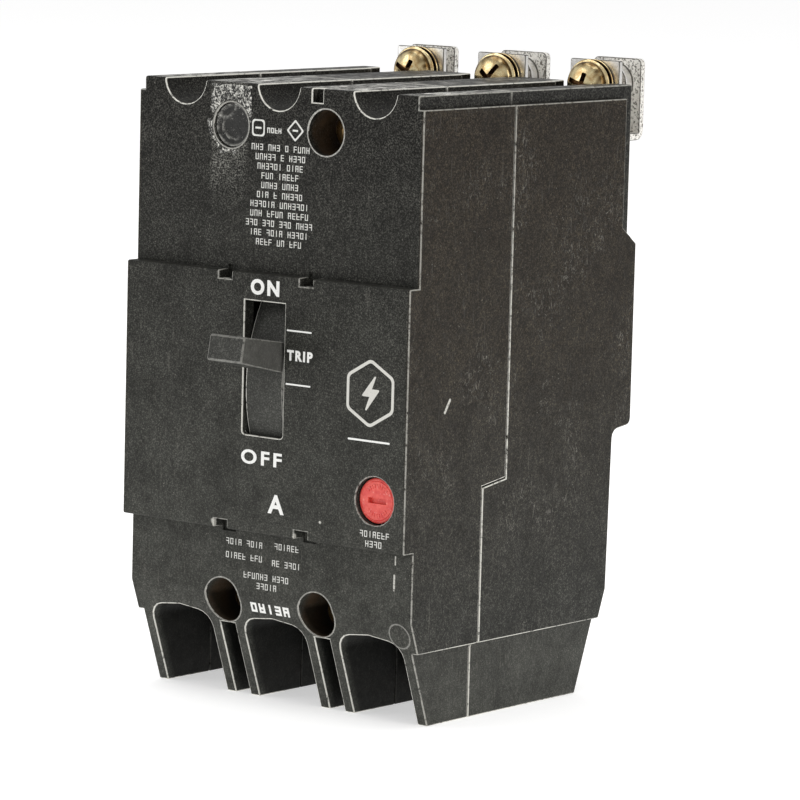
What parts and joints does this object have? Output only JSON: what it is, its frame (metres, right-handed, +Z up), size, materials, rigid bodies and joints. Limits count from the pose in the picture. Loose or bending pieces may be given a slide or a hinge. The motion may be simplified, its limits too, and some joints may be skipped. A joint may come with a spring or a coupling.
{
  "type": "circuit breaker",
  "caption": "Moulded-case circuit breaker with linked poles: toggle handle, red trip button, bolt-on line terminals on top and box lugs at the foot.",
  "frame": {"origin": "bottom centre of the whole breaker, on the plane of the case's foot", "axes": "+X across the poles towards the trip button, +Y from the handle side to the wall side, +Z up towards the line terminals"},
  "size_m": [0.0762, 0.1012, 0.1348],
  "materials": {
    "case_phenolic": "moulded black phenolic with fine pale filler and scuffs",
    "handle_phenolic": "moulded black phenolic, slightly smoother than the case",
    "sealing_compound": "rough set compound",
    "red_button": "moulded red plastic",
    "brass": "yellow chromate and brass, bright",
    "silver_plate": "silver-plated copper, lightly brushed",
    "copper": "bare copper",
    "steel": "zinc-plated steel",
    "lug_aluminium": "tin-plated aluminium",
    "red_fibre": "red-brown vulcanised fibre"
  },
  "bodies": {
    "case": {"rear_base": "case_phenolic", "front_cover": "case_phenolic", "seal_wax": "sealing_compound", "case_rivet_1": "brass", "case_rivet_2": "brass", "case_rivet_3": "brass", "case_rivet_4": "brass", "line_strap_1": "silver_plate", "line_strap_2": "silver_plate", "line_strap_3": "silver_plate", "arc_chute_1": "red_fibre", "arc_chute_2": "red_fibre", "arc_chute_3": "red_fibre", "load_strap_1": "copper", "load_strap_2": "copper", "load_strap_3": "copper", "load_lug_1": "lug_aluminium", "load_lug_2": "lug_aluminium", "load_lug_3": "lug_aluminium", "bimetal_1": "copper", "bimetal_2": "copper", "bimetal_3": "copper", "magnet_yoke_1": "steel", "magnet_yoke_2": "steel", "magnet_yoke_3": "steel", "braid_1": "copper", "braid_2": "copper", "braid_3": "copper", "mechanism_frame": "steel", "handle_pin": "steel", "cradle_pin": "steel", "mechanism_spring": "steel", "button_spring": "steel"},
    "handle": {"handle": "handle_phenolic", "handle_yoke": "steel"},
    "drive_link": {"drive_link": "steel"},
    "contact_bar": {"crossbar": "red_fibre", "contact_arm_1": "copper", "contact_arm_2": "copper", "contact_arm_3": "copper"},
    "cradle": {"cradle": "steel"},
    "trip_button": {"trip_button": "red_button"},
    "trip_bar": {"trip_bar": "red_fibre"},
    "line_clamp_1": {"line_screw_1": "brass", "lock_washer_1": "brass", "flat_washer_1": "brass", "clamp_plate_1": "silver_plate"},
    "line_clamp_2": {"line_screw_2": "brass", "lock_washer_2": "brass", "flat_washer_2": "brass", "clamp_plate_2": "silver_plate"},
    "line_clamp_3": {"line_screw_3": "brass", "lock_washer_3": "brass", "flat_washer_3": "brass", "clamp_plate_3": "silver_plate"},
    "lug_screw_1": {"lug_screw_1": "steel"},
    "lug_screw_2": {"lug_screw_2": "steel"},
    "lug_screw_3": {"lug_screw_3": "steel"}
  },
  "joints": [
    {"name": "handle_pivot", "type": "hinge", "parent": "case", "child": "handle", "pos_m": [0, -0.002, 0.0677], "axis": [1, 0, 0], "range_deg": [-10.3, 20.9], "deforming": ["mechanism_spring"]},
    {"name": "contact_bar_pivot", "type": "hinge", "parent": "case", "child": "contact_bar", "pos_m": [0, 0.014, 0.07], "axis": [1, 0, 0], "range_deg": [-10.3, 20.9], "deforming": ["braid_1", "braid_2", "braid_3"]},
    {"name": "link_pivot", "type": "hinge", "parent": "handle", "child": "drive_link", "pos_m": [0, -0.002, 0.0767], "axis": [1, 0, 0], "range_deg": [-20.9, 10.3]},
    {"name": "cradle_pivot", "type": "hinge", "parent": "case", "child": "cradle", "pos_m": [0, -0.008, 0.088], "axis": [1, 0, 0], "range_deg": [0, 12]},
    {"name": "trip_button_press", "type": "slide", "parent": "case", "child": "trip_button", "axis": [0, 1, 0], "range_m": [0, 0.002], "stiffness_N_per_m": 400, "springref_m": -0.001, "deforming": ["button_spring"]},
    {"name": "trip_bar_pivot", "type": "hinge", "parent": "case", "child": "trip_bar", "pos_m": [0, -0.002, 0.0563], "axis": [1, 0, 0], "range_deg": [0, 15.1]},
    {"name": "line_screw_1_travel", "type": "slide", "parent": "case", "child": "line_clamp_1", "axis": [0, 1, 0], "range_m": [-0.004, 0]},
    {"name": "line_screw_2_travel", "type": "slide", "parent": "case", "child": "line_clamp_2", "axis": [0, 1, 0], "range_m": [0, 0.0037]},
    {"name": "line_screw_3_travel", "type": "slide", "parent": "case", "child": "line_clamp_3", "axis": [0, 1, 0], "range_m": [0, 0.004]},
    {"name": "lug_screw_1_travel", "type": "slide", "parent": "case", "child": "lug_screw_1", "axis": [0, 1, 0], "range_m": [0, 0.0055]},
    {"name": "lug_screw_2_travel", "type": "slide", "parent": "case", "child": "lug_screw_2", "axis": [0, 1, 0], "range_m": [0, 0.0055]},
    {"name": "lug_screw_3_travel", "type": "slide", "parent": "case", "child": "lug_screw_3", "axis": [0, 1, 0], "range_m": [0, 0.0055]}
  ],
  "couplings": [
    {"joint": "contact_bar_pivot", "follows": "handle_pivot", "ratio": 1},
    {"joint": "link_pivot", "follows": "handle_pivot", "ratio": -1},
    {"joint": "trip_bar_pivot", "follows": "trip_button_press", "rad_per_m": 130.9}
  ]
}
